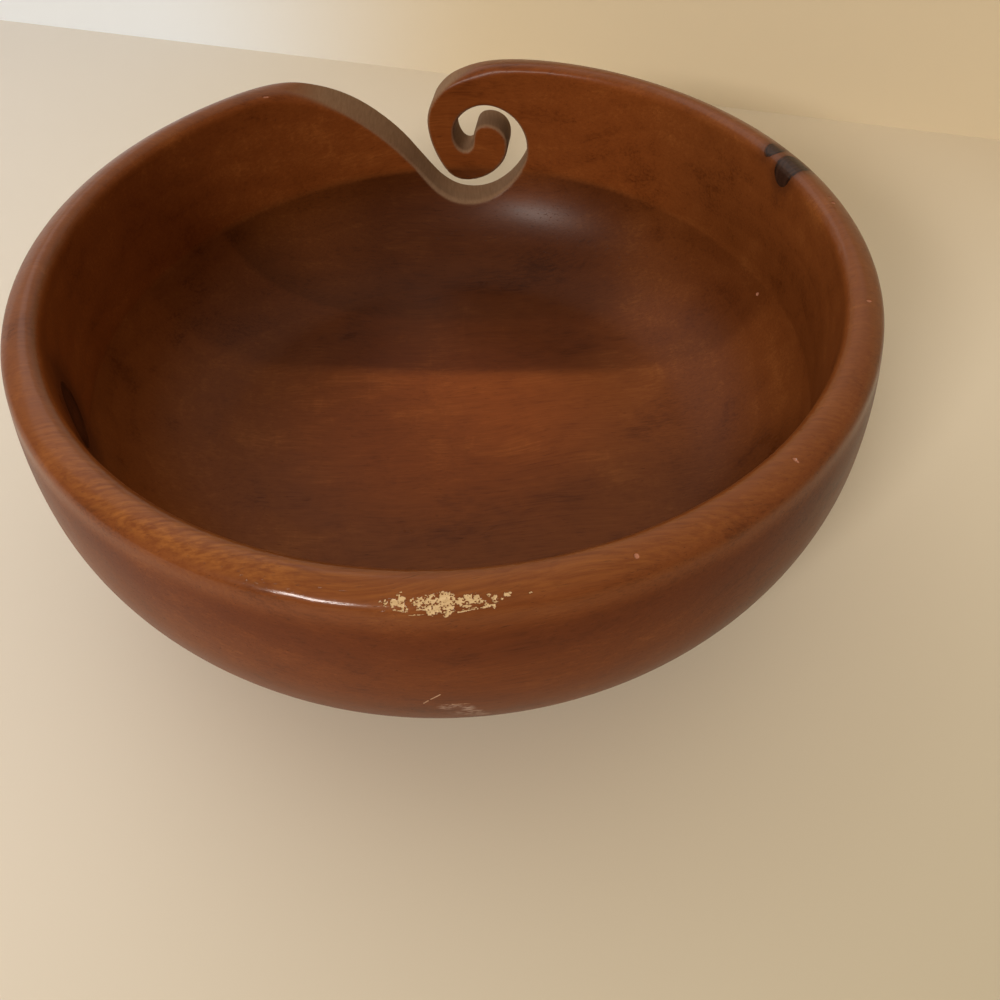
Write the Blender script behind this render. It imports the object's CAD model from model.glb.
import math

import bpy
import numpy as np
from mathutils import Matrix, Vector


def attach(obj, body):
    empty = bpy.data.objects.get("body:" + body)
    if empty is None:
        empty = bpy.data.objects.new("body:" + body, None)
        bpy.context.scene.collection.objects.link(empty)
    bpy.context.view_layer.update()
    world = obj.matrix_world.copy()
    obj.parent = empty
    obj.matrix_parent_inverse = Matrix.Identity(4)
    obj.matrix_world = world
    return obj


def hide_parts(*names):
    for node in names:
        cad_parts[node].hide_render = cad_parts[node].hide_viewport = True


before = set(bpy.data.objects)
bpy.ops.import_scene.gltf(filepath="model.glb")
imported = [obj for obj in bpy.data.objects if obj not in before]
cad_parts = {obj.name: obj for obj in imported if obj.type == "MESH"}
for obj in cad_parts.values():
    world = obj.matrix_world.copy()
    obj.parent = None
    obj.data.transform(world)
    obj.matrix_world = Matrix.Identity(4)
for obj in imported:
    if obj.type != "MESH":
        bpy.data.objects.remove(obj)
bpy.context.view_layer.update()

# =====================================================================
# 1. The bowl's shape. All shape work is in millimetres in the CAD frame.
# =====================================================================
# turning profile: the same arc chain as the CAD bowl
RIM_H, R_MAX, BELLY_Z, R_FOOT = 67.0, 89.0, 46.2, 43.0


def two_circles(c0, r0, c1, r1):
    c0, c1 = np.array(c0, float), np.array(c1, float)
    d = np.hypot(*(c1 - c0))
    a = (r0 * r0 - r1 * r1 + d * d) / (2 * d)
    k = math.sqrt(max(r0 * r0 - a * a, 0.0))
    u = (c1 - c0) / d
    n = np.array([-u[1], u[0]])
    return c0 + a * u + k * n, c0 + a * u - k * n


def along(c, q, r):
    q = np.array(q, float) - c
    return c + q / np.hypot(*q) * r


def profile_arcs():
    """[(centre, start, end)] with centre None for a line, from the foot centre round to the floor centre."""
    foot = np.array([R_FOOT, 0.0])
    cb = np.array([R_MAX - 44.6, BELLY_Z])
    cf = max(two_circles(cb, 60.0 - 44.6, foot, 60.0), key=lambda p: p[1])
    jfb = along(cf, cb, 60.0)
    jbw = np.array([R_MAX, BELLY_Z])
    cw = np.array([R_MAX - 88.0, BELLY_Z])
    rise = 62.9 - BELLY_Z
    ca = np.array([cw[0] + math.sqrt((88.0 - 3.2) ** 2 - rise ** 2), 62.9])
    jwa = along(cw, ca, 88.0)
    cl = np.array([79.6 + 2.6, RIM_H - 2.6])
    cd = min(two_circles(ca, 10.0 - 3.2, cl, 10.0 - 2.6), key=lambda p: p[1])
    jad, jdl = along(cd, ca, 10.0), along(cd, cl, 10.0)
    jlw, ridge = np.array([79.6, cl[1]]), np.array([79.6, 37.0])
    k = math.radians(12.0)
    cc = np.array([79.6 - 31.0 * math.cos(k), 37.0 + 31.0 * math.sin(k)])
    cfl = np.array([0.0, 10.1 + 700.0])
    cbl = min(two_circles(cc, 120.0 - 31.0, cfl, 700.0 - 120.0), key=lambda p: p[0])
    jcb, jbf = along(cbl, cc, 120.0), along(cfl, cbl, 700.0)
    return [(None, np.array([0.0, 0.0]), foot), (cf, foot, jfb), (cb, jfb, jbw), (cw, jbw, jwa),
            (ca, jwa, jad), (cd, jad, jdl), (cl, jdl, jlw), (None, jlw, ridge),
            (cc, ridge, jcb), (cbl, jcb, jbf), (cfl, jbf, np.array([0.0, 10.1]))]


# slot outline in the XZ plane: node x, z and signed radius of the arc that leaves it
SLOT = [
    (-64.01, 68.14, -35.37), (-50.51, 64.03, -61.68), (-36.43, 53.62, -106.53),
    (-25.41, 40.94, 86.00), (-19.39, 33.57, 17.22), (-13.25, 29.24, 15.08),
    (-2.10, 29.74, 17.88), (5.88, 37.25, 11.76), (7.30, 46.26, 11.69),
    (-2.16, 54.84, 9.28), (-11.52, 50.49, 6.92), (-11.57, 43.46, 3.70),
    (-10.23, 42.09, 1.61), (-8.57, 42.13, 2.65), (-7.52, 43.55, 8.06),
    (-7.18, 45.50, -8.15), (-6.83, 47.49, -2.89), (-5.13, 49.31, -5.51),
    (-0.86, 49.01, -5.46), (2.21, 44.53, -9.79), (-1.47, 36.06, -11.93),
    (-9.99, 33.49, -7.02), (-14.86, 36.09, -15.88), (-17.10, 40.24, -28.01),
    (-19.26, 48.78, -12.21), (-17.63, 56.20, -16.88), (-11.92, 61.57, -37.21),
    (-0.88, 65.78, -104.72), (12.04, 67.61, 0.0),
]


def arc_points(c, a, b, step):
    if c is None:
        n = max(2, int(np.hypot(*(b - a)) / step) + 1)
        return a + (b - a) * np.linspace(0, 1, n)[:, None]
    ta, tb = math.atan2(a[1] - c[1], a[0] - c[0]), math.atan2(b[1] - c[1], b[0] - c[0])
    d = (tb - ta + math.pi) % (2 * math.pi) - math.pi
    r = np.hypot(*(a - c))
    n = max(3, int(abs(d) * r / step) + 1)
    t = ta + d * np.linspace(0, 1, n)
    return c + r * np.stack([np.cos(t), np.sin(t)], -1)


def slot_polygon(step=0.35):
    pts = []
    for (x0, z0, r), (x1, z1, _) in zip(SLOT[:-1], SLOT[1:]):
        a, b = np.array([x0, z0]), np.array([x1, z1])
        chord = np.hypot(*(b - a))
        s = math.sqrt(r * r - chord * chord / 4) * (1 if r > 0 else -1)
        c = (a + b) / 2 + np.array([-(b - a)[1], (b - a)[0]]) / chord * s
        pts.append(arc_points(c, a, b, step)[:-1])
    pts.append(np.array([[12.04, 67.61], [40.0, 69.8], [40.0, 90.0], [-92.0, 90.0], [-92.0, 70.5]]))
    p = np.concatenate(pts)
    return np.concatenate([p, p[:1]])


def polygon_grid(poly, x, y):
    """Signed distance (negative inside) of a closed polygon on the grid x by y."""
    X, Y = np.meshgrid(x, y, indexing="ij")
    P = np.stack([X.ravel(), Y.ravel()], -1)
    best = np.full(len(P), 1e18)
    inside = np.zeros(len(P), bool)
    for a, b in zip(poly[:-1], poly[1:]):
        e = b - a
        L = e @ e
        if L < 1e-12:
            continue
        t = np.clip(((P - a) @ e) / L, 0, 1)
        dx = P[:, 0] - a[0] - t * e[0]
        dy = P[:, 1] - a[1] - t * e[1]
        np.minimum(best, dx * dx + dy * dy, out=best)
        if a[1] != b[1]:
            cross = ((a[1] > P[:, 1]) != (b[1] > P[:, 1])) & (
                P[:, 0] < e[0] * (P[:, 1] - a[1]) / e[1] + a[0])
            inside ^= cross
    d = np.sqrt(best)
    return np.where(inside, -d, d).reshape(X.shape)


class Grid2:
    """Bicubic-free but fine lookup of a 2D field: bilinear on a 0.2 mm grid."""

    def __init__(self, field, x0, y0, h):
        self.f, self.x0, self.y0, self.h = field, x0, y0, h

    def __call__(self, x, y):
        u = np.clip((x - self.x0) / self.h, 0, self.f.shape[0] - 1.001)
        v = np.clip((y - self.y0) / self.h, 0, self.f.shape[1] - 1.001)
        i, j = u.astype(int), v.astype(int)
        fu, fv = u - i, v - j
        f = self.f
        return ((f[i, j] * (1 - fu) + f[i + 1, j] * fu) * (1 - fv)
                + (f[i, j + 1] * (1 - fu) + f[i + 1, j + 1] * fu) * fv)


def profile_field():
    h = 0.2
    r, z = np.arange(-1.0, 93.0, h), np.arange(-3.0, 71.0, h)
    pts = [arc_points(c, a, b, 0.5)[:-1] for c, a, b in profile_arcs()]
    poly = np.concatenate(pts + [np.array([[0.0, 10.1], [-6.0, 10.1], [-6.0, 0.0], [0.0, 0.0]])])
    return Grid2(polygon_grid(poly, r, z), r[0], z[0], h)


def slot_field():
    h = 0.2
    x, z = np.arange(-93.0, 41.0, h), np.arange(24.0, 72.0, h)
    return Grid2(polygon_grid(slot_polygon(0.5), x, z), x[0], z[0], h)


PROFILE, SLOTF = profile_field(), slot_field()


def smoothstep(a, b, x):
    t = np.clip((x - a) / (b - a), 0, 1)
    return t * t * (3 - 2 * t)


def edge_radius(x, z):
    """How far the sawn edges are rounded over: most along the top of the curl and the left lobe's crown."""
    curl = smoothstep(54.0, 64.5, z) * smoothstep(-20.0, -4.0, x)
    lobe = smoothstep(50.0, 65.0, z) * smoothstep(-34.0, -56.0, x)
    return 0.95 + 1.9 * curl + 1.3 * lobe


def bowl_sdf(x, y, z):
    a = PROFILE(np.hypot(x, y), z)
    s = SLOTF(x, z)
    b = np.where(y > 20.0, -s, -30.0)
    k = edge_radius(x, z)
    return np.minimum(np.maximum(a, b), -k) + np.sqrt(np.maximum(a + k, 0) ** 2 + np.maximum(b + k, 0) ** 2)


def gradient(f, p, e=0.08):
    g = np.empty_like(p)
    for i in range(3):
        q = p.copy(); q[:, i] += e
        r = p.copy(); r[:, i] -= e
        g[:, i] = (f(q[:, 0], q[:, 1], q[:, 2]) - f(r[:, 0], r[:, 1], r[:, 2])) / (2 * e)
    return g


def project(f, p, steps=4):
    for _ in range(steps):
        g = gradient(f, p)
        n2 = np.maximum((g * g).sum(1), 0.05)
        p = p - (f(p[:, 0], p[:, 1], p[:, 2]) / n2)[:, None] * g
    return p


def surface_nets(f, lo, hi, h):
    """Quad mesh of f = 0 on a regular grid. Returns vertices and quads."""
    ax = [np.arange(lo[i], hi[i] + h, h) for i in range(3)]
    X, Y, Z = np.meshgrid(*ax, indexing="ij")
    F = f(X, Y, Z).astype(np.float32)
    del X, Y, Z
    S = F < 0
    nx, ny, nz = F.shape
    corner = [(i, j, k) for i in (0, 1) for j in (0, 1) for k in (0, 1)]

    def cut(A, c):
        return A[c[0]:nx - 1 + c[0], c[1]:ny - 1 + c[1], c[2]:nz - 1 + c[2]]

    count = sum(cut(S, c).astype(np.uint8) for c in corner)
    active = (count > 0) & (count < 8)
    I, J, K = np.nonzero(active)
    index = np.full(active.shape, -1, np.int64)
    index[I, J, K] = np.arange(len(I))
    acc, n = np.zeros((len(I), 3)), np.zeros(len(I))
    for a in corner:
        for axis in range(3):
            if a[axis]:
                continue
            b = list(a); b[axis] = 1
            fa = F[I + a[0], J + a[1], K + a[2]]
            fb = F[I + b[0], J + b[1], K + b[2]]
            m = (fa < 0) != (fb < 0)
            t = np.where(m, fa / np.where(m, fa - fb, 1.0), 0.0)
            p = np.array(a, float)[None, :].repeat(len(I), 0)
            p[:, axis] += t
            acc += p * m[:, None]
            n += m
    v = acc / n[:, None] + np.stack([I, J, K], -1)
    v = v * h + np.array([a[0] for a in ax])
    quads = []
    for axis in range(3):
        o = [(axis + 1) % 3, (axis + 2) % 3]
        sl = [slice(1, None)] * 3
        sl[axis] = slice(0, -1)
        sl2 = list(sl); sl2[axis] = slice(1, None)
        A, B = S[tuple(sl)], S[tuple(sl2)]
        idx = np.argwhere(A != B)
        flip = A[tuple(idx.T)]
        base = idx.copy()
        for q in o:
            base[:, q] += 1
        ok = np.all(base < np.array(index.shape), axis=1)
        base, flip = base[ok], flip[ok]

        def cell(d0, d1):
            c = base.copy()
            c[:, o[0]] -= d0
            c[:, o[1]] -= d1
            return index[tuple(c.T)]

        q = np.stack([cell(1, 1), cell(0, 1), cell(0, 0), cell(1, 0)], -1)
        q[~flip] = q[~flip][:, ::-1]
        quads.append(q)
    return v, np.concatenate(quads)


# ---------------------------------------------------------------------
# value noise for shape masks (deterministic hash, no random state)
# ---------------------------------------------------------------------
def _hash(i, j, k, seed):
    n = (i * 374761393 + j * 668265263 + k * 2147483647 + seed * 1274126177) & 0xFFFFFFFF
    n = ((n ^ (n >> 13)) * 1103515245 + 12345) & 0xFFFFFFFF
    n = ((n ^ (n >> 16)) * 2246822519) & 0xFFFFFFFF
    return ((n ^ (n >> 15)) & 0xFFFFFF) / float(0xFFFFFF)


def value_noise(x, y, z, seed=0):
    i, j, k = np.floor(x).astype(np.int64), np.floor(y).astype(np.int64), np.floor(z).astype(np.int64)
    fx, fy, fz = x - i, y - j, z - k
    fx, fy, fz = [f * f * (3 - 2 * f) for f in (fx, fy, fz)]
    out = 0.0
    for a in (0, 1):
        for b in (0, 1):
            for c in (0, 1):
                w = (fx if a else 1 - fx) * (fy if b else 1 - fy) * (fz if c else 1 - fz)
                out = out + w * _hash(i + a, j + b, k + c, seed)
    return out


def fractal(x, y, z, seed=0, octaves=3):
    s, amp, tot = 0.0, 1.0, 0.0
    for o in range(octaves):
        s = s + amp * value_noise(x * 2 ** o, y * 2 ** o, z * 2 ** o, seed + o * 17)
        tot += amp
        amp *= 0.55
    return s / tot


# ---------------------------------------------------------------------
# wear: where the clear coat has flaked off the rim, scuffs and nicks
# ---------------------------------------------------------------------
FLAKES = [  # along the rim from azimuth -90, up over the arris, half sizes (mm)
    (5.2, 2.65, 0.30, 0.22), (5.9, 2.45, 0.42, 0.45), (7.4, 2.65, 0.75, 0.60), (8.25, 3.1, 0.62, 0.80),
    (8.5, 2.1, 0.55, 0.75), (9.1, 1.5, 0.30, 0.30), (10.1, 2.75, 0.62, 0.55), (11.05, 2.85, 0.72, 0.80),
    (12.55, 2.75, 1.00, 1.25), (12.5, 1.35, 0.55, 0.90), (14.9, 3.0, 1.45, 1.20), (15.1, 1.6, 0.95, 1.00),
    (14.95, 0.55, 0.42, 0.35), (13.7, 1.9, 0.75, 0.60), (17.0, 2.6, 0.62, 0.62), (18.35, 3.0, 0.95, 0.72),
    (19.45, 2.85, 0.60, 0.60), (18.0, 1.9, 0.8, 0.25), (20.3, 2.45, 0.50, 0.28), (21.3, 3.35, 0.50, 0.28),
    (22.15, 2.6, 0.42, 0.85), (22.0, 1.6, 0.25, 0.45), (20.9, 1.95, 0.35, 0.20), (24.1, 3.05, 0.48, 0.38),
    (23.2, 2.5, 0.20, 0.25), (27.4, 2.95, 0.33, 0.15),
]
STREAKS = [  # thin lifted lines along the grain: s0, t0, s1, t1, half width
    (9.4, 0.62, 13.6, 0.95, 0.11), (12.3, 1.05, 15.4, 1.5, 0.13), (16.6, 1.0, 22.0, 1.75, 0.13),
    (17.2, 1.35, 19.4, 1.6, 0.10), (10.6, 1.55, 12.0, 1.65, 0.12), (7.2, 1.5, 9.4, 1.1, 0.12),
]
ARRIS_JOINT = (87.277, 63.530)


def rim_coordinates(p):
    """Arc length along the front rim from azimuth -90, and arc length up over the arris from the wall."""
    az = np.arctan2(p[:, 1], p[:, 0])
    s = (az + math.pi / 2) * 86.0
    r = np.hypot(p[:, 0], p[:, 1])
    cx, cz = 84.139, 62.9
    a0 = math.atan2(ARRIS_JOINT[1] - cz, ARRIS_JOINT[0] - cx)
    a = np.arctan2(p[:, 2] - cz, r - cx) - a0
    t_arc = a * 3.2
    dx, dz = 80.257, 57.317
    b = np.arctan2(p[:, 2] - dz, r - dx) - math.atan2(65.527 - dz, 85.966 - dx)
    t = np.where(t_arc < 2.526, t_arc, 2.526 + b * 10.0)
    t = np.where(p[:, 2] < ARRIS_JOINT[1], -(ARRIS_JOINT[1] - p[:, 2]) * 1.02, t)
    return s, t


def flake_mask(p):
    s, t = rim_coordinates(p)
    n1 = fractal(s * 1.7, t * 2.1, 0 * s, 3, 3) - 0.5
    n2 = fractal(s * 4.6, t * 5.2, 0 * s + 9.0, 11, 2) - 0.5
    best = np.full(len(p), -2.0)
    for cs, ct, a, b in FLAKES:
        best = np.maximum(best, 1.0 - np.hypot((s - cs) / a, (t - ct) / b))
    m = best * 1.25 + n1 * 1.7 + n2 * 1.35 + 0.04
    for s0, t0, s1, t1, w in STREAKS:
        L = (s1 - s0) ** 2 + (t1 - t0) ** 2
        u = np.clip(((s - s0) * (s1 - s0) + (t - t0) * (t1 - t0)) / L, 0, 1)
        d = np.hypot(s - s0 - u * (s1 - s0), t - t0 - u * (t1 - t0))
        gap = fractal(s * 1.3, 0 * s + t0, 0 * s, 29, 2)
        m = np.maximum(m, (1.0 - d / (w * (0.5 + gap))) * 1.2 + (gap - 0.62) * 2.2)
    # small islands of finish left inside the bare patch
    isle = fractal(s * 3.9, t * 4.3, 0 * s + 4.0, 41, 2)
    m = m - smoothstep(0.56, 0.68, isle) * 1.15
    inside = (s > 3.6) & (s < 28.6) & (t > -0.6) & (t < 5.0) & (p[:, 1] < 0)
    return np.where(inside, np.clip(m * 2.2 + 0.5, 0, 1), 0.0)


NICKS = [  # small chips through the finish: x, y, z, half length, half width, direction (deg in the tangent plane)
    (-55.3, 58.1, 65.7, 0.9, 0.45, 10), (79.3, 25.5, 66.8, 0.55, 0.4, 80), (69.5, 35.4, 34.7, 0.45, 0.8, 0),
    (83.2, -7.1, 66.8, 0.5, 0.4, 30), (66.8, -50.4, 66.7, 0.5, 0.3, 60), (42.0, -73.0, 66.5, 0.45, 0.3, 0),
    (79.0, 27.5, 66.6, 0.3, 0.25, 0),
]


def nick_mask(p):
    m = np.zeros(len(p))
    n = fractal(p[:, 0] * 1.6, p[:, 1] * 1.6, p[:, 2] * 1.6, 77, 2) - 0.5
    for x, y, z, a, b, d in NICKS:
        rel = p - np.array([x, y, z])
        az = math.atan2(y, x)
        tang = rel[:, 0] * -math.sin(az) + rel[:, 1] * math.cos(az)
        rad = rel[:, 0] * math.cos(az) + rel[:, 1] * math.sin(az)
        vert = rel[:, 2]
        c, s = math.cos(math.radians(d)), math.sin(math.radians(d))
        other = rad + vert
        u, v = tang * c + other * s, -tang * s + other * c
        near = (rel * rel).sum(1) < 9.0
        q = 1.0 - np.hypot(u / a, v / b) + n * 0.9
        m = np.where(near, np.maximum(m, np.clip(q * 2.5, 0, 1)), m)
    return m


SCRATCHES = [  # on the front belly: azimuth, z of both ends, half width (mm), strength
    (-83.35, 39.9, -82.75, 41.2, 0.125, 0.85), (-82.50, 41.7, -81.45, 43.5, 0.135, 0.9),
    (-81.45, 39.0, -80.30, 39.4, 0.10, 0.45), (-80.3, 39.2, -78.35, 39.3, 0.12, 0.75),
]
SCUFFS = [  # azimuth, z, half widths (mm), strength
    (-80.9, 37.9, 1.9, 1.7, 0.45), (-79.9, 38.2, 1.4, 1.2, 0.35), (-78.6, 36.2, 1.5, 2.6, 0.55),
    (-78.1, 33.6, 2.2, 3.0, 0.45), (-77.4, 31.3, 2.4, 1.8, 0.30), (-79.6, 34.0, 2.2, 2.0, 0.22),
]


def scuff_mask(p):
    az = np.degrees(np.arctan2(p[:, 1], p[:, 0]))
    s, z = az * math.pi / 180 * 87.5, p[:, 2]
    near = (az > -86) & (az < -74) & (z > 25) & (z < 47) & (np.hypot(p[:, 0], p[:, 1]) > 80)
    n = fractal(s * 1.1, z * 2.4, 0 * s, 5, 3)
    m = np.zeros(len(p))
    for a, zz, w, h, k in SCUFFS:
        q = 1.0 - np.hypot((s - a * math.pi / 180 * 87.5) / w, (z - zz) / h)
        m = np.maximum(m, np.clip(q * 1.4, 0, 1) * k * smoothstep(0.36, 0.62, n))
    line = np.zeros(len(p))
    for a0, z0, a1, z1, w, k in SCRATCHES:
        s0, s1 = a0 * math.pi / 180 * 87.5, a1 * math.pi / 180 * 87.5
        L = (s1 - s0) ** 2 + (z1 - z0) ** 2
        u = np.clip(((s - s0) * (s1 - s0) + (z - z0) * (z1 - z0)) / L, 0, 1)
        d = np.hypot(s - s0 - u * (s1 - s0), z - z0 - u * (z1 - z0))
        line = np.maximum(line, k * np.clip(1.25 - d / w, 0, 1))
    return np.where(near, m, 0.0), np.where(near, line, 0.0)


# ---------------------------------------------------------------------
# meshes
# ---------------------------------------------------------------------
import bmesh


def new_mesh_object(name, verts_mm, faces):
    me = bpy.data.meshes.new(name)
    me.from_pydata((np.asarray(verts_mm) / 1000.0).tolist(), [], [list(map(int, f)) for f in faces])
    me.update()
    o = bpy.data.objects.new(name, me)
    bpy.context.scene.collection.objects.link(o)
    return o


def vertex_array(me):
    co = np.empty(len(me.vertices) * 3)
    me.vertices.foreach_get("co", co)
    return co.reshape(-1, 3) * 1000.0


def refine(me, region):
    """Splits every face whose corners all lie in the region, once."""
    p = vertex_array(me)
    keep = region(p)
    bm = bmesh.new()
    bm.from_mesh(me)
    bm.edges.ensure_lookup_table()
    n = len(me.edges)
    ev = np.empty(n * 2, np.int64)
    me.edges.foreach_get("vertices", ev)
    ev = ev.reshape(-1, 2)
    hit = np.nonzero(keep[ev[:, 0]] & keep[ev[:, 1]])[0]
    bmesh.ops.subdivide_edges(bm, edges=[bm.edges[int(i)] for i in hit], cuts=1, use_grid_fill=True)
    bm.to_mesh(me)
    bm.free()
    me.update()
    q = vertex_array(me)
    moved = np.ones(len(q), bool)
    moved[:len(p)] = False
    if moved.any():
        q[moved] = project(bowl_sdf, q[moved], 3)
    me.vertices.foreach_set("co", (q / 1000.0).ravel())
    me.update()


def in_flakes(margin):
    def f(p):
        s, t = rim_coordinates(p)
        return ((s > 4.3 - margin) & (s < 28.2 + margin) & (t > -0.2 - margin) & (t < 4.6 + margin)
                & (p[:, 1] < -60) & (p[:, 2] > 60.0) & (np.hypot(p[:, 0], p[:, 1]) > 81.5))
    return f


def in_scuffs(margin):
    def f(p):
        az = np.degrees(np.arctan2(p[:, 1], p[:, 0]))
        return ((az > -84.2 - margin) & (az < -76.2 + margin) & (p[:, 2] > 30.0 - margin)
                & (p[:, 2] < 44.2 + margin) & (np.hypot(p[:, 0], p[:, 1]) > 80.0))
    return f


def in_nicks(radius):
    def f(p):
        m = np.zeros(len(p), bool)
        for n in NICKS:
            m |= ((p - np.array(n[:3])) ** 2).sum(1) < radius ** 2
        return m
    return f


def near_slot(margin):
    def f(p):
        return (p[:, 1] > 20) & (np.abs(SLOTF(p[:, 0], p[:, 2])) < margin)
    return f


def attribute(me, name, values):
    a = me.attributes.get(name) or me.attributes.new(name, "FLOAT", "POINT")
    a.data.foreach_set("value", np.asarray(values, np.float32))



# ---------------------------------------------------------------------
# knots: harder, darker plugs of branch wood that lie flush in the wall
# ---------------------------------------------------------------------
KNOTS = [  # name, azimuth, r, z, half axes radial / tangential / vertical, CAD node, slot
    ("rim_knot_large_visual", 28.9, 82.0, 66.0, (4.8, 3.6, 4.6), "rim_knot_large", "knot_wood"),
    ("rim_knot_small_visual", 33.9, 82.4, 66.4, (2.7, 2.1, 2.6), "rim_knot_small", "knot_wood"),
    ("side_knot_visual", -152.2, 79.6, 46.5, (6.0, 5.2, 8.5), "side_knot", "side_knot_wood"),
]


def knot_centre(k):
    a = math.radians(k[1])
    return np.array([k[2] * math.cos(a), k[2] * math.sin(a), k[3]])


def knot_coordinates(p, k):
    """Position in the knot's own radial, tangential, vertical axes, in mm."""
    a = math.radians(k[1])
    rel = p - knot_centre(k)
    return np.stack([rel[:, 0] * math.cos(a) + rel[:, 1] * math.sin(a),
                     -rel[:, 0] * math.sin(a) + rel[:, 1] * math.cos(a), rel[:, 2]], 1)


def near_knots(margin):
    def f(p):
        m = np.zeros(len(p), bool)
        for k in KNOTS:
            q = knot_coordinates(p, k) / (np.array(k[4]) + margin)
            m |= (q * q).sum(1) < 1.0
        return m
    return f


def knot_blob(k, seed, grow):
    """A slightly uneven egg shape; the knot takes it as is, its seat takes it grown by a hairline."""
    bm = bmesh.new()
    bmesh.ops.create_icosphere(bm, subdivisions=6, radius=1.0)
    bm.verts.ensure_lookup_table()
    d = np.array([v.co[:] for v in bm.verts])
    d /= np.linalg.norm(d, axis=1)[:, None]
    n = fractal(d[:, 0] * 1.9 + 5, d[:, 1] * 1.9 + 5, d[:, 2] * 1.9 + 5, seed, 2) - 0.5
    half = np.array(k[4])
    q = d * half * (0.985 - 0.07 * np.abs(n))[:, None] + d * grow
    a = math.radians(k[1])
    c = knot_centre(k)
    x = q[:, 0] * math.cos(a) - q[:, 1] * math.sin(a) + c[0]
    y = q[:, 0] * math.sin(a) + q[:, 1] * math.cos(a) + c[1]
    faces = [[v.index for v in f.verts] for f in bm.faces]
    bm.free()
    return new_mesh_object(k[0] + "_form", np.stack([x, y, q[:, 2] + c[2]], 1), faces)


def stitch(me):
    """Closes the edges that refinement has split on one side only."""
    bm = bmesh.new()
    bm.from_mesh(me)
    todo = []
    for e in bm.edges:
        if not e.is_boundary:
            continue
        a, b = e.verts
        for f in a.link_edges:
            m = f.other_vert(a)
            g = bm.edges.get((m, b)) if f is not e and f.is_boundary else None
            if g is not None and g.is_boundary and e.calc_length() > 1.5 * max(f.calc_length(), g.calc_length()):
                todo.append((e, a, m))
    target = {}
    for e, a, m in todo:
        target[bmesh.utils.edge_split(e, a, 0.5)[1]] = m
    bmesh.ops.weld_verts(bm, targetmap=target)
    bm.to_mesh(me)
    bm.free()
    me.update()


def boolean(obj, tool, operation):
    m = obj.modifiers.new("cut", "BOOLEAN")
    m.operation, m.object, m.solver = operation, tool, "EXACT"
    dg = bpy.context.evaluated_depsgraph_get()
    me = bpy.data.meshes.new_from_object(obj.evaluated_get(dg))
    obj.modifiers.remove(m)
    return me


def drop(o):
    me = o.data
    bpy.data.objects.remove(o, do_unlink=True)
    bpy.data.meshes.remove(me)


def tidy(me, keep_largest=True):
    """Welds boolean slivers and keeps only the largest closed shell."""
    bm = bmesh.new()
    bm.from_mesh(me)
    bmesh.ops.remove_doubles(bm, verts=bm.verts, dist=2e-7)
    bmesh.ops.dissolve_degenerate(bm, edges=bm.edges, dist=2e-7)
    if keep_largest:
        bm.verts.ensure_lookup_table()
        seen = np.zeros(len(bm.verts), bool)
        bm.verts.index_update()
        groups = []
        for v in bm.verts:
            if seen[v.index]:
                continue
            stack, grp = [v], []
            seen[v.index] = True
            while stack:
                a = stack.pop()
                grp.append(a)
                for e in a.link_edges:
                    b = e.other_vert(a)
                    if not seen[b.index]:
                        seen[b.index] = True
                        stack.append(b)
            groups.append(grp)
        groups.sort(key=len)
        for grp in groups[:-1]:
            bmesh.ops.delete(bm, geom=grp, context="VERTS")
    bm.to_mesh(me)
    bm.free()
    me.update()


verts, quads = surface_nets(bowl_sdf, np.array([-90.6, -90.6, -1.3]), np.array([90.6, 90.6, 69.0]), 0.9)
verts = project(bowl_sdf, verts)
bowl = new_mesh_object("bowl_visual", verts, quads)
refine(bowl.data, near_slot(2.9))
for m in (1.6, 0.9, 0.4):
    refine(bowl.data, in_flakes(m))
for m in (1.2, 0.6):
    refine(bowl.data, in_scuffs(m))
for r in (3.0, 2.2, 1.6):
    refine(bowl.data, in_nicks(r))
refine(bowl.data, near_knots(1.2))

knot_objects = []
for i, k in enumerate(KNOTS):
    form = knot_blob(k, 60 + i, 0.0)
    seat = knot_blob(k, 60 + i, 0.045)
    plug = boolean(form, bowl, "INTERSECT")
    cut = boolean(bowl, seat, "DIFFERENCE")
    old = bowl.data
    bowl.data = cut
    bpy.data.meshes.remove(old)
    tidy(plug)
    o = bpy.data.objects.new(k[0], plug)
    bpy.context.scene.collection.objects.link(o)
    knot_objects.append(o)
    drop(form)
    drop(seat)
tidy(bowl.data)
stitch(bowl.data)
bowl.data.name = "bowl_visual"


def surface_normals(p):
    n = gradient(bowl_sdf, p)
    return n / np.maximum(np.linalg.norm(n, axis=1), 1e-9)[:, None]


co = vertex_array(bowl.data)
normal = surface_normals(co)
on_surface = np.abs(bowl_sdf(*co.T)) < 0.02          # not down in the knots' seats
flake = flake_mask(co)
nick = nick_mask(co) * on_surface
scuff, scratch = scuff_mask(co)
grainy = fractal(co[:, 0] * 1.1, co[:, 1] * 5.0, co[:, 2] * 5.0, 13, 2) - 0.5
depth = flake * (0.13 + 0.10 * grainy) + nick * 0.22 + scratch * 0.05 + scuff * 0.012 * (1 + grainy)
worn = depth > 1e-4
co = co - normal * depth[:, None]
co[:, :2] *= 0.99982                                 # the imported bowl's facets lie just inside the true circle
bowl.data.vertices.foreach_set("co", (co / 1000.0).ravel())
bowl.data.update()
attribute(bowl.data, "flake", flake)
attribute(bowl.data, "nick", nick)
attribute(bowl.data, "scuff", scuff)
attribute(bowl.data, "scratch", scratch)
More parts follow.
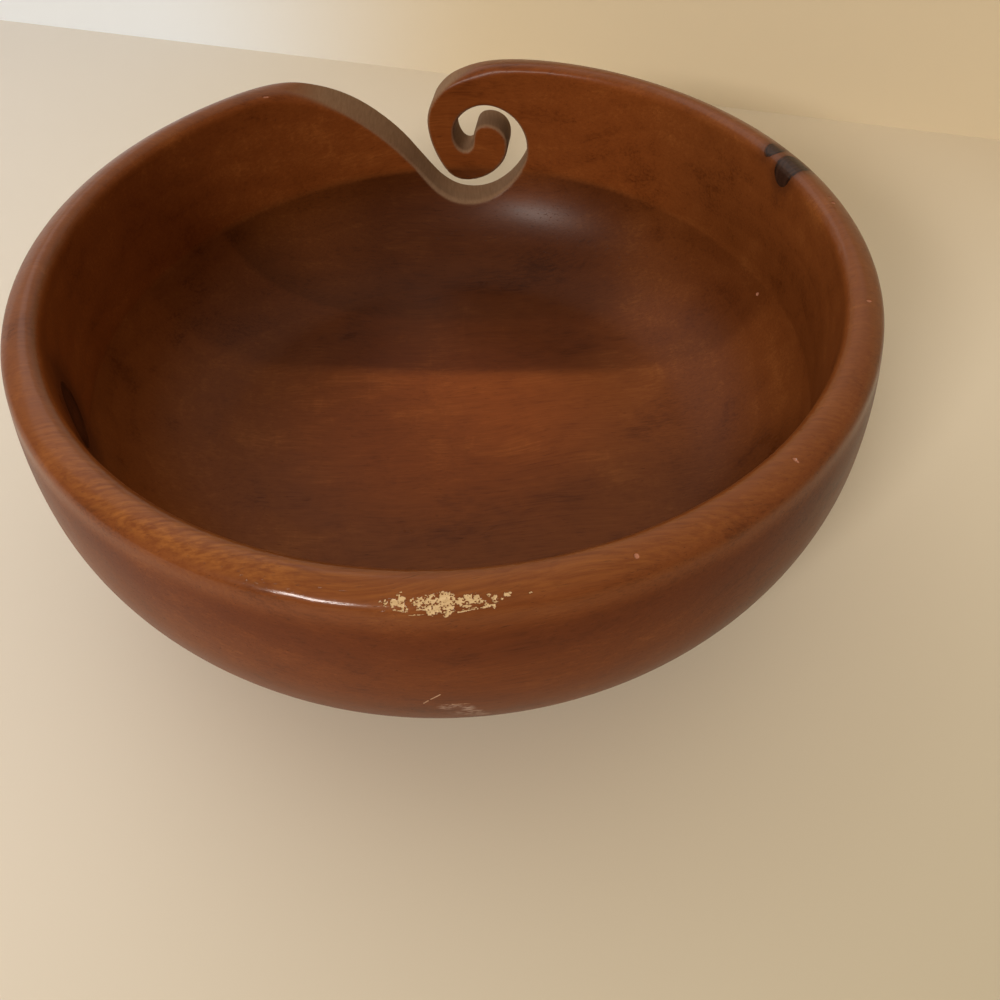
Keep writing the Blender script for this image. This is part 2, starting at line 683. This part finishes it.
# sawn faces of the yarn slot
slot_d = SLOTF(co[:, 0], co[:, 2])
radial = np.hypot(co[:, 0], co[:, 1])
cut_face = np.where((co[:, 1] > 20) & (np.abs(slot_d) < 1.2),
                    smoothstep(0.30, 0.80, np.abs(normal[:, 0] * -co[:, 1] + normal[:, 1] * co[:, 0]) / radial
                               + np.abs(normal[:, 2]) * smoothstep(67.0, 50.0, co[:, 2])), 0.0)
cut_face *= smoothstep(1.2, 0.5, np.abs(slot_d))
attribute(bowl.data, "sawn", cut_face)


def shade(o, worn=None):
    """Smooth shading that follows the exact surface; worn places keep the shading of their own relief."""
    me = o.data
    me.polygons.foreach_set("use_smooth", np.ones(len(me.polygons), bool))
    me.update()
    p = vertex_array(me)
    exact = surface_normals(p)
    vn = np.empty(len(me.vertices) * 3)
    me.vertex_normals.foreach_get("vector", vn)
    vn = vn.reshape(-1, 3)
    nl = len(me.loops)
    lv = np.empty(nl, np.int32)
    me.loops.foreach_get("vertex_index", lv)
    fn = np.empty(len(me.polygons) * 3)
    me.polygons.foreach_get("normal", fn)
    fn = fn.reshape(-1, 3)
    start = np.empty(len(me.polygons), np.int32)
    total = np.empty(len(me.polygons), np.int32)
    me.polygons.foreach_get("loop_start", start)
    me.polygons.foreach_get("loop_total", total)
    lf = np.repeat(np.arange(len(me.polygons)), total)
    face_n = fn[lf]
    n = exact[lv]
    off = np.abs(bowl_sdf(*p.T)) > 0.35
    bad = ((n * face_n).sum(1) < 0.75) | off[lv]
    n = np.where(bad[:, None], face_n, n)
    if worn is not None:
        w = worn[lv][:, None]
        n = np.where(w & ~bad[:, None], vn[lv], n)
    me.normals_split_custom_set(n.tolist())


shade(bowl, worn)
for o in knot_objects:
    shade(o)
print("pieces:", len(bowl.data.vertices), [len(o.data.vertices) for o in knot_objects])


# =====================================================================
# 2. Finishes: every colour, grain, sheen and bump comes from nodes
# =====================================================================
class Tree:
    """A small helper that writes node trees."""

    def __init__(self, nt):
        self.nt = nt
        nt.nodes.clear()

    def node(self, kind, **kw):
        n = self.nt.nodes.new(kind)
        for k, v in kw.items():
            setattr(n, k, v)
        return n

    def put(self, sock, v):
        if isinstance(v, bpy.types.NodeSocket):
            self.nt.links.new(v, sock)
        elif isinstance(v, (tuple, list)) and len(v) == 3 and sock.type == "RGBA":
            sock.default_value = (*v, 1.0)
        else:
            sock.default_value = v

    def math(self, op, a, b=0.0, c=0.0, clamp=False):
        n = self.node("ShaderNodeMath", operation=op, use_clamp=clamp)
        for s, v in zip(n.inputs, (a, b, c)):
            self.put(s, v)
        return n.outputs[0]

    def add(self, *v):
        out = v[0]
        for x in v[1:]:
            out = self.math("ADD", out, x)
        return out

    def mul(self, *v):
        out = v[0]
        for x in v[1:]:
            out = self.math("MULTIPLY", out, x)
        return out

    def vmath(self, op, a, b=(0, 0, 0), scale=None):
        n = self.node("ShaderNodeVectorMath", operation=op)
        self.put(n.inputs[0], a)
        if scale is not None:
            self.put(n.inputs["Scale"], scale)
        else:
            self.put(n.inputs[1], b)
        return n.outputs["Value"] if op in ("LENGTH", "DOT_PRODUCT", "DISTANCE") else n.outputs[0]

    def xyz(self, v):
        n = self.node("ShaderNodeSeparateXYZ")
        self.put(n.inputs[0], v)
        return n.outputs

    def vec(self, x, y, z):
        n = self.node("ShaderNodeCombineXYZ")
        for s, v in zip(n.inputs, (x, y, z)):
            self.put(s, v)
        return n.outputs[0]

    def mix(self, f, a, b, blend="MIX"):
        n = self.node("ShaderNodeMix", data_type="RGBA", blend_type=blend)
        self.put(n.inputs[0], f)
        self.put(n.inputs[6], a)
        self.put(n.inputs[7], b)
        return n.outputs[2]

    def lerp(self, f, a, b):
        n = self.node("ShaderNodeMix", data_type="FLOAT")
        self.put(n.inputs[0], f)
        self.put(n.inputs[2], a)
        self.put(n.inputs[3], b)
        return n.outputs[0]

    def noise(self, v, scale=1.0, detail=2.0, rough=0.5, dist=0.0, color=False):
        n = self.node("ShaderNodeTexNoise")
        self.put(n.inputs["Vector"], v)
        n.inputs["Scale"].default_value = scale
        n.inputs["Detail"].default_value = detail
        n.inputs["Roughness"].default_value = rough
        n.inputs["Distortion"].default_value = dist
        return n.outputs["Color"] if color else n.outputs["Fac"]

    def stretch(self, v, sx, sy, sz, off=(0, 0, 0)):
        n = self.node("ShaderNodeMapping")
        self.put(n.inputs["Vector"], v)
        n.inputs["Scale"].default_value = (sx, sy, sz)
        n.inputs["Location"].default_value = off
        return n.outputs[0]

    def step(self, x, lo, hi, a=0.0, b=1.0):
        n = self.node("ShaderNodeMapRange", interpolation_type="SMOOTHSTEP")
        for s, v in zip(n.inputs, (x, lo, hi, a, b)):
            self.put(s, v)
        return n.outputs[0]

    def attr(self, name):
        n = self.node("ShaderNodeAttribute", attribute_name=name, attribute_type="GEOMETRY")
        return n.outputs["Fac"]


GRAIN = math.radians(12.1)          # the board's grain runs this far round from +X


def wood_space(t):
    """Millimetres, x along the grain, with a gentle wander so that no line is ruler straight."""
    tc = t.node("ShaderNodeTexCoord")
    m = t.node("ShaderNodeMapping")
    t.put(m.inputs["Vector"], tc.outputs["Object"])
    m.inputs["Scale"].default_value = (1000, 1000, 1000)
    m.inputs["Rotation"].default_value = (0, 0, -GRAIN)
    w = m.outputs[0]
    wander = t.vmath("SUBTRACT", t.noise(w, 0.017, 2, 0.5, color=True), (0.5, 0.5, 0.5))
    wander = t.vmath("MULTIPLY", wander, (0.0, 13.0, 13.0))
    ripple = t.vmath("SUBTRACT", t.noise(t.stretch(w, 0.06, 0.16, 0.16), 1.0, 2, 0.5, color=True), (0.5, 0.5, 0.5))
    ripple = t.vmath("MULTIPLY", ripple, (0.0, 1.6, 1.6))
    return w, t.vmath("ADD", t.vmath("ADD", w, wander), ripple), tc


def wood(name, dark, mid, light, is_bowl, bark_from=0.66):
    mat = bpy.data.materials.new(name)
    mat.use_nodes = True
    t = Tree(mat.node_tree)
    w, g, tc = wood_space(t)
    x, y, z = t.xyz(g)
    # growth rings about a line along the grain, well under the bowl
    rr = t.math("SQRT", t.add(t.math("POWER", t.math("SUBTRACT", y, 18.0), 2.0),
                              t.math("POWER", t.math("ADD", z, 95.0), 2.0)))
    rr = t.add(t.mul(rr, 1 / 6.4), t.mul(t.noise(t.stretch(g, 0.02, 0.03, 0.03), 1.0, 2), 2.2))
    saw = t.math("FRACT", rr)
    ring = t.mul(t.step(saw, 0.0, 0.86), t.step(saw, 1.0, 0.90))
    fibre = t.noise(t.stretch(g, 0.055, 1.7, 1.7), 1.0, 3, 0.62)
    fine = t.noise(t.stretch(g, 0.16, 5.2, 5.2), 1.0, 2, 0.6)
    pore = t.noise(t.stretch(g, 0.30, 3.9, 3.9, (7, 3, 1)), 1.0, 1, 0.5)
    pores = t.step(pore, 0.67, 0.77)
    mottle = t.noise(t.stretch(w, 0.028, 0.05, 0.05, (3, 9, 2)), 1.0, 3, 0.55, 0.4)
    blotch = t.noise(t.stretch(w, 0.09, 0.13, 0.13, (1, 4, 8)), 1.0, 3, 0.6, 0.8)
    fleck = t.noise(t.stretch(w, 0.42, 0.10, 0.16, (5, 1, 6)), 1.0, 2, 0.5, 0.5)
    flecks = t.mul(t.step(fleck, 0.56, 0.72), t.step(mottle, 0.45, 0.62))

    tone = t.add(t.mul(t.math("SUBTRACT", mottle, 0.5), 0.84), t.mul(t.math("SUBTRACT", blotch, 0.5), 0.56),
                 t.mul(t.math("SUBTRACT", fibre, 0.5), 0.74), t.mul(ring, 0.09), t.mul(flecks, 0.08), 0.46)
    col = t.mix(t.step(tone, 0.0, 0.55), dark, mid)
    col = t.mix(t.step(tone, 0.50, 1.10), col, light)
    col = t.mix(t.mul(t.step(fine, 0.50, 0.30), 0.22), col, tuple(c * 0.6 for c in dark))
    col = t.mix(t.mul(pores, 0.42), col, tuple(c * 0.40 for c in dark))
    rough = t.add(0.46, t.mul(t.math("SUBTRACT", blotch, 0.5), 0.16), t.mul(pores, 0.15))
    coat = 0.50
    coat_rough = t.add(0.135, t.mul(t.math("SUBTRACT", mottle, 0.5), 0.14), t.mul(t.math("SUBTRACT", blotch, 0.5), 0.08))
    height = t.add(t.mul(fibre, 0.5), t.mul(fine, 0.35), t.mul(pores, -1.3), t.mul(blotch, 0.3))

    if is_bowl:
        halo, wear, sawn = t.attr("halo"), t.attr("wear"), t.attr("sawn")
        flake_a, nick_a, scuff_a, scratch_a = t.attr("flake"), t.attr("nick"), t.attr("scuff"), t.attr("scratch")
        # the clear coat rubbed thin along the rim: warmer, with the grain showing through
        streak = t.step(t.noise(t.stretch(g, 0.030, 1.5, 1.5, (2, 6, 4)), 1.0, 3, 0.62), 0.30, 0.72)
        warm = t.mix(streak, (0.170, 0.046, 0.0085), (0.290, 0.098, 0.0185))
        warm = t.mix(t.mul(pores, 0.35), warm, (0.06, 0.016, 0.004))
        col = t.mix(wear, col, warm)
        col = t.mix(t.mul(halo, 0.80), col, (0.045, 0.014, 0.006))
        outside, base, under = t.attr("outside"), t.attr("base"), t.attr("under")
        col = t.mix(t.mul(under, 0.50), col, t.mix(1.0, col, (0.62, 0.46, 0.36), "MULTIPLY"))
        col = t.mix(base, col, t.mix(1.0, col, (1.38, 1.22, 1.02), "MULTIPLY"))
        col = t.mix(t.mul(outside, 0.46), col, t.mix(1.0, col, (0.60, 0.40, 0.20), "MULTIPLY"))
        # the stain has taken deeper, and a little greener, low down inside the back of the bowl
        deep, lens = t.attr("deep"), t.attr("lens")
        col = t.mix(t.mul(deep, 0.62), col, t.mix(1.0, col, (0.16, 0.085, 0.06), "MULTIPLY"))
        col = t.mix(t.mul(lens, 0.34), col, t.mix(1.0, col, (0.24, 0.25, 0.10), "MULTIPLY"))
        # sawn faces of the slot: matt, greyer, with strokes running through the wall
        stroke = t.noise(t.stretch(w, 1.9, 0.16, 1.9, (4, 4, 4)), 1.0, 3, 0.6)
        sawn_col = t.mix(stroke, (0.175, 0.098, 0.054), (0.31, 0.198, 0.116))
        col = t.mix(t.mul(sawn, 0.85), col, sawn_col)
        rough = t.lerp(sawn, rough, 0.70)
        # bare wood where the finish has chipped off
        speck = t.noise(t.stretch(w, 0.9, 2.6, 2.6, (6, 2, 9)), 1.0, 3, 0.7)
        bare = t.mix(t.noise(t.stretch(g, 0.25, 2.2, 2.2, (9, 9, 9)), 1.0, 3, 0.6), (0.40, 0.245, 0.10), (0.82, 0.62, 0.36))
        bare = t.mix(t.mul(t.step(speck, 0.60, 0.72), 0.75), bare, (0.20, 0.075, 0.022))
        edge = t.mul(t.step(flake_a, 0.10, 0.45), t.step(flake_a, 0.80, 0.45))
        f = t.step(flake_a, 0.38, 0.62)
        col = t.mix(t.mul(edge, 0.5), col, (0.10, 0.028, 0.010))
        col = t.mix(f, col, bare)
        nf = t.mul(t.step(nick_a, 0.25, 0.7), 0.62)
        col = t.mix(nf, col, (0.52, 0.24, 0.15))
        sc = t.mul(scuff_a, t.add(0.62, t.mul(t.noise(t.stretch(w, 1.2, 1.2, 3.0), 1.0, 3, 0.7), 0.9)))
        col = t.mix(sc, col, (0.58, 0.45, 0.37))
        col = t.mix(t.step(scratch_a, 0.1, 0.8), col, (0.60, 0.40, 0.275))
        bareness = t.math("MAXIMUM", t.math("MAXIMUM", f, nf), t.math("MAXIMUM", t.mul(sc, 0.8), scratch_a), clamp=True)
        rough = t.lerp(bareness, rough, 0.85)
        inside = t.attr("inside")
        coat = t.mul(t.math("SUBTRACT", 1.0, t.mul(outside, 0.45)), t.lerp(inside, 0.48, 0.17), t.math("SUBTRACT", 1.0, bareness), t.math("SUBTRACT", 1.0, t.mul(sawn, 0.88)),
                     t.math("SUBTRACT", 1.0, t.mul(wear, 0.25)))
        coat_rough = t.add(coat_rough, t.mul(wear, 0.08), t.mul(inside, 0.17))
        # faint turning lines left by the tool
        ox, oy, oz = t.xyz(t.stretch(tc.outputs["Object"], 1000, 1000, 1000))
        rad = t.math("SQRT", t.add(t.math("POWER", ox, 2.0), t.math("POWER", oy, 2.0)))
        lathe = t.noise(t.vec(t.mul(rad, 0.9), t.mul(oz, 0.9), 0.0), 1.0, 3, 0.7)
        height = t.add(height, t.mul(lathe, 0.55), t.mul(bareness, t.add(-0.6, t.mul(speck, 2.4))),
                       t.mul(sawn, stroke, 2.4))
    else:
        # branch wood: rings about the branch, a dark bark line at the edge, small drying cracks
        q = t.attr("knot_q")
        around = t.attr("knot_turn")
        rings = t.math("SINE", t.add(t.mul(q, 21.0), t.mul(t.noise(w, 0.6, 2), 5.0)))
        col = t.mix(t.mul(t.math("ADD", rings, 1.0), 0.28), col, dark)
        bark = t.step(q, bark_from, 0.96)
        col = t.mix(t.mul(bark, 0.72), col, tuple(c * 0.34 for c in dark))
        # it blends into the stained wood along an uneven edge
        blend = t.math("MAXIMUM", t.step(t.add(q, t.mul(t.math("SUBTRACT", blotch, 0.5), 1.1)), 0.90, 1.12),
                       t.step(t.add(t.attr("knot_out"), t.mul(t.math("SUBTRACT", fibre, 0.5), 1.3)), 0.0, 1.0))
        col = t.mix(t.mul(blend, 0.80), col, (0.120, 0.036, 0.0095))
        crack = t.noise(t.vec(t.mul(around, 2.6), t.mul(q, 0.7), 3.0), 1.0, 2, 0.6)
        crack = t.mul(t.step(crack, 0.40, 0.33), t.step(q, 0.1, 0.35), t.step(q, 1.0, 0.75))
        col = t.mix(t.mul(crack, 0.9), col, tuple(c * 0.12 for c in dark))
        height = t.add(height, t.mul(crack, -3.0), t.mul(rings, 0.35))
        coat = 0.36
        rough = t.add(rough, 0.06)

    bump = t.node("ShaderNodeBump")
    bump.inputs["Strength"].default_value = 0.32
    bump.inputs["Distance"].default_value = 0.00004
    t.put(bump.inputs["Height"], height)
    b = t.node("ShaderNodeBsdfPrincipled")
    t.put(b.inputs["Base Color"], col)
    t.put(b.inputs["Roughness"], rough)
    b.inputs["IOR"].default_value = 1.45
    b.inputs["Specular IOR Level"].default_value = 0.04
    t.put(b.inputs["Coat Weight"], coat)
    t.put(b.inputs["Coat Roughness"], coat_rough)
    b.inputs["Coat IOR"].default_value = 1.5
    t.put(b.inputs["Normal"], bump.outputs[0])
    t.put(b.inputs["Coat Normal"], bump.outputs[0])
    out = t.node("ShaderNodeOutputMaterial")
    t.put(out.inputs["Surface"], b.outputs[0])
    return mat


# masks that the finishes read
def knot_halo(p):
    m = np.zeros(len(p))
    for k, reach, strength in zip(KNOTS, (1.6, 1.2, 3.4), (0.62, 0.55, 0.75)):
        q = knot_coordinates(p, k)
        half = np.array(k[4])
        level = (np.linalg.norm(q / half, axis=1) - 1.0) * half.min()
        n = fractal(p[:, 0] * 0.8, p[:, 1] * 0.8, p[:, 2] * 0.8, 90, 2)
        m = np.maximum(m, strength * np.exp(-(np.maximum(level, 0) / (reach * (0.5 + n))) ** 2))
    # the reddish stain that runs on below the larger rim knot
    q = p - np.array([69.3, 38.6, 59.6])
    m = np.maximum(m, 0.38 * np.exp(-((q[:, 0] ** 2 + q[:, 1] ** 2) / 2.6 + q[:, 2] ** 2 / 5.0)))
    return m


def rim_wear(p):
    r = np.hypot(p[:, 0], p[:, 1])
    az = np.degrees(np.arctan2(p[:, 1], p[:, 0]))
    up = smoothstep(62.0, 65.0, p[:, 2]) * smoothstep(79.9, 82.0, r)
    n = fractal(p[:, 0] * 0.09, p[:, 1] * 0.09, p[:, 2] * 0.09, 51, 3)
    front = np.maximum(np.exp(-((az + 112) / 24.0) ** 2), 0.38 * np.exp(-((az + 62) / 38.0) ** 2))
    outer = smoothstep(86.9, 84.6, r)
    return up * outer * np.clip(front * (0.35 + 1.15 * n) + 0.18 * n, 0, 1) * smoothstep(100, 60, np.abs(az + 95) * 0 + p[:, 1])


def finish_masks():
    p = vertex_array(bowl.data)
    attribute(bowl.data, "halo", knot_halo(p))
    attribute(bowl.data, "wear", rim_wear(p))
    x, y, z = p.T
    r = np.hypot(x, y)
    inner = smoothstep(81.0, 79.9, r) * smoothstep(8.5, 9.6, z) * (z < 66.0)
    attribute(bowl.data, "inside", inner)
    attribute(bowl.data, "outside", smoothstep(79.0, 86.0, r) * smoothstep(63.5, 60.0, z) + (r < 79.0) * (z < 9.0))
    low = inner * smoothstep(37.4, 36.2, z)
    attribute(bowl.data, "under", smoothstep(61.5, 58.5, z) * smoothstep(47.0, 57.0, z) * smoothstep(80.0, 85.0, r))
    attribute(bowl.data, "base", inner * smoothstep(52.0, 12.0, np.hypot(x + 4, (y - 4) * 1.15)) * smoothstep(30.0, 18.0, z)
              + 0.42 * inner * smoothstep(37.0, 38.4, z) * smoothstep(58.0, 30.0, x))
    n = fractal(x * 0.06, y * 0.06, z * 0.06, 33, 3) - 0.5
    edge = np.interp(x, [-67, -37, -17.5, 10, 32, 45, 57], [41.4, 41.5, 42.6, 45.9, 48.7, 49.7, 52.4])
    soft = np.interp(x, [-60, 10, 60], [0.8, 1.4, 6.0])
    lens = low * smoothstep(-soft, soft, y - edge + n * 1.5)
    lens *= np.interp(x, [-70, -38, 5, 62], [1.0, 0.95, 0.62, 0.35])
    sheen = np.exp(-((x - 6) / 17.0) ** 2) * smoothstep(22, 33, z)
    attribute(bowl.data, "lens", lens * (1 - 0.8 * sheen))
    fade = np.exp(-np.maximum(np.abs(x + 2) - 26, 0) ** 2 / 16.0 ** 2)
    band = low * smoothstep(-2.6, 2.6, y - 24.2 - 0.11 * x + n * 3.0) * (0.35 + 0.65 * fade)
    right = 0.42 * inner * smoothstep(44.0, 64.0, x) * smoothstep(58.0, 44.0, z)
    attribute(bowl.data, "deep", np.clip(band * (1 - 0.55 * sheen) + right, 0, 1))
    for o, k in zip(knot_objects, KNOTS):
        q = knot_coordinates(vertex_array(o.data), k) / np.array(k[4])
        if k[0].startswith("side"):
            a, b = q[:, 1], q[:, 2]
        else:
            a, b = q[:, 0], q[:, 1]
        attribute(o.data, "knot_q", np.clip(np.hypot(a, b), 0, 1.2))
        attribute(o.data, "knot_turn", np.arctan2(b, a))
        p = vertex_array(o.data)
        r = np.hypot(p[:, 0], p[:, 1])
        edge = {"rim_knot_large_visual": 84.0, "rim_knot_small_visual": 82.5}.get(k[0], 200.0)
        attribute(o.data, "knot_out", np.clip((r - edge) / 1.2, -1.0, 2.0))


finish_masks()
stained = wood("stained_wood", (0.088, 0.0215, 0.0045), (0.178, 0.0495, 0.0105), (0.275, 0.0900, 0.0210), True)
knot_mat = wood("knot_wood", (0.021, 0.0086, 0.0050), (0.046, 0.0205, 0.0115), (0.078, 0.036, 0.020), False)
side_mat = wood("side_knot_wood", (0.034, 0.0090, 0.0034), (0.085, 0.0240, 0.0080), (0.125, 0.038, 0.013), False, 0.40)
bowl.data.materials.clear()
bowl.data.materials.append(stained)
for o, m in zip(knot_objects, (knot_mat, knot_mat, side_mat)):
    o.data.materials.clear()
    o.data.materials.append(m)


# =====================================================================
# 3. Stage: plain pale floor and sheet, soft light, camera
# =====================================================================
def plane(name, corners):
    o = new_mesh_object(name, np.array(corners) * 1000.0, [[0, 1, 2, 3]])
    return o


def plain(name, colour, cool, lo_hi, rough, dim=False):
    mat = bpy.data.materials.new(name)
    mat.use_nodes = True
    t = Tree(mat.node_tree)
    tc = t.node("ShaderNodeTexCoord")
    n = t.noise(tc.outputs["Object"], 5.0, 2, 0.5)
    f = t.noise(tc.outputs["Object"], 900.0, 2, 0.6)
    c = t.mix(n, tuple(c * 0.97 for c in colour), colour)
    px = t.xyz(tc.outputs["Object"])[0]
    c = t.mix(t.step(px, lo_hi[0], lo_hi[1]), t.mix(1.0, c, cool, "MULTIPLY"), c)
    if dim:
        py = t.xyz(tc.outputs["Object"])[1]
        q = t.add(t.mul(px, 0.62), t.mul(py, -0.78))
        c = t.mix(t.step(q, 0.02, 0.24), c, t.mix(1.0, c, (0.67, 0.66, 0.58), "MULTIPLY"))
    b = t.node("ShaderNodeBsdfPrincipled")
    t.put(b.inputs["Base Color"], c)
    b.inputs["Roughness"].default_value = rough
    b.inputs["Specular IOR Level"].default_value = 0.3
    bump = t.node("ShaderNodeBump")
    bump.inputs["Strength"].default_value = 0.08
    bump.inputs["Distance"].default_value = 0.0001
    t.put(bump.inputs["Height"], f)
    t.put(b.inputs["Normal"], bump.outputs[0])
    # seen only from the side the light is on, so that it never hides the bowl from behind or below
    one_sided = t.node("ShaderNodeMixShader")
    t.put(one_sided.inputs[0], t.mul(t.node("ShaderNodeNewGeometry").outputs["Backfacing"],
                                     t.node("ShaderNodeLightPath").outputs["Is Camera Ray"]))
    t.put(one_sided.inputs[1], b.outputs[0])
    t.put(one_sided.inputs[2], t.node("ShaderNodeBsdfTransparent").outputs[0])
    out = t.node("ShaderNodeOutputMaterial")
    t.put(out.inputs["Surface"], one_sided.outputs[0])
    return mat


floor = plane("stage_floor", [(-3, -3, -0.00006), (3, -3, -0.00006), (3, 3, -0.00006), (-3, 3, -0.00006)])
floor.data.materials.append(plain("stage_pale", (0.765, 0.68, 0.525), (1.02, 1.09, 1.30), (-0.30, 0.12), 0.55, True))
L, R = Vector((-0.242, 0.234)), Vector((0.168, 0.181))
d = (R - L).normalized()
A, B = L - d * 1.6, R + d * 1.6
sheet = plane("stage_sheet", [(A.x, A.y, -0.001), (B.x, B.y, -0.001), (B.x, B.y, 0.16), (A.x, A.y, 0.16)])
sheet.data.materials.append(plain("stage_sheet", (0.755, 0.645, 0.45), (1.15, 1.44, 2.18), (-0.17, -0.01), 0.7))

world = bpy.data.worlds.new("soft_room")
bpy.context.scene.world = world
world.use_nodes = True
t = Tree(world.node_tree)
tc = t.node("ShaderNodeTexCoord")
v = t.vmath("NORMALIZE", tc.outputs["Generated"])
back = t.step(t.vmath("DOT_PRODUCT", v, (-0.20, 0.67, 0.715)), 0.30, 1.0)
top = t.step(t.xyz(v)[2], 0.25, 1.0)
level = t.add(0.260, t.mul(back, 0.50), t.mul(top, 0.22))
colour = t.mix(back, (1.0, 0.83, 0.66), (1.0, 0.90, 0.76))
bg = t.node("ShaderNodeBackground")
t.put(bg.inputs["Color"], colour)
t.put(bg.inputs["Strength"], level)
wo = t.node("ShaderNodeOutputWorld")
t.put(wo.inputs["Surface"], bg.outputs[0])


def area(name, loc, target, size, power, colour):
    li = bpy.data.lights.new(name, "AREA")
    li.shape, li.size, li.size_y = "RECTANGLE", size[0], size[1]
    li.energy, li.color = power, colour
    o = bpy.data.objects.new(name, li)
    o.location = loc
    o.rotation_euler = (Vector(target) - Vector(loc)).to_track_quat("-Z", "Y").to_euler()
    bpy.context.scene.collection.objects.link(o)
    return o


area("window_front_left", (-0.465, -1.12, 0.77), (0, 0, 0.04), (0.34, 0.22), 12.2, (1.0, 0.93, 0.86))
area("soft_back_left", (-1.2, 0.8, 1.5), (0, 0, 0.03), (1.8, 1.4), 5.0, (0.84, 0.92, 1.0))

cam_data = bpy.data.cameras.new("photo_camera")
cam_data.sensor_width, cam_data.lens = 36.0, 34.2
cam_data.clip_start, cam_data.clip_end = 0.01, 20.0
cam = bpy.data.objects.new("photo_camera", cam_data)
bpy.context.scene.collection.objects.link(cam)
cam.matrix_world = Matrix((
    (0.99081679, -0.09667952, 0.09452594, 0.034369),
    (0.13479442, 0.7611279, -0.63444053, -0.160317),
    (-0.01060892, 0.6413559, 0.76717016, 0.181900),
    (0.0, 0.0, 0.0, 1.0)))
bpy.context.scene.camera = cam
vs = bpy.context.scene.view_settings
vs.view_transform, vs.look, vs.exposure, vs.gamma = "Standard", "None", 0.0, 1.0

# =====================================================================
# 4. Hand over
# =====================================================================
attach(bowl, "root")
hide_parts("turned_bowl")
for o, k in zip(knot_objects, KNOTS):
    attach(o, "root")
    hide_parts(k[5])
